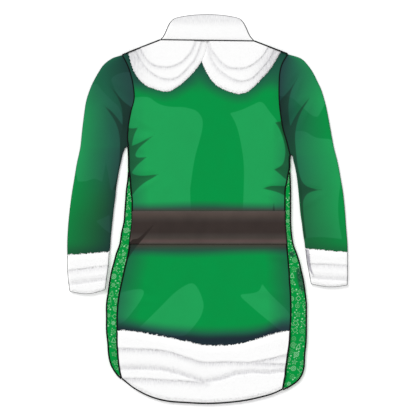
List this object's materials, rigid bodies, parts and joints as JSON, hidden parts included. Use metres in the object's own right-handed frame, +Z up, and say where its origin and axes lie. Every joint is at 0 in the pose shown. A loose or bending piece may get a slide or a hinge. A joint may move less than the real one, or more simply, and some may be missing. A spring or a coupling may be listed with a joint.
{
  "type": "elf costume tunic",
  "caption": "Long-sleeved elf costume tunic with stand collar, lobed plush collar, belt strip, plush cuffs and hem band, laid flat with its back up.",
  "frame": {"origin": "middle of the garment's outline, on the surface that it lies on", "axes": "+X across the garment, to the right as seen from above; +Y from the hem towards the collar; +Z up, out of the garment's back"},
  "size_m": [0.6736, 0.9357, 0.0133],
  "materials": {
    "velour": "green stretch velour with a soft sheen and darker nap in its creases",
    "printed_velour": "green velour with a small pale winter repeat of flakes, rings, trees and stars",
    "plush": "white short-pile plush with soft grey folds",
    "belt": "dark brown leatherette strip, lighter along its edges"
  },
  "bodies": {
    "root": {"back_body": "velour", "front_body": "velour", "side_panel_left": "printed_velour", "side_panel_right": "printed_velour", "sleeve_left": "velour", "sleeve_right": "velour", "cuff_left": "plush", "cuff_right": "plush", "hem_band_back": "plush", "hem_band_front": "plush", "stand_collar": "plush", "collar_lobe_left": "plush", "collar_lobe_right": "plush", "front_lobe_left": "plush", "front_lobe_right": "plush", "belt_back": "belt", "belt_front": "belt"}
  },
  "joints": []
}
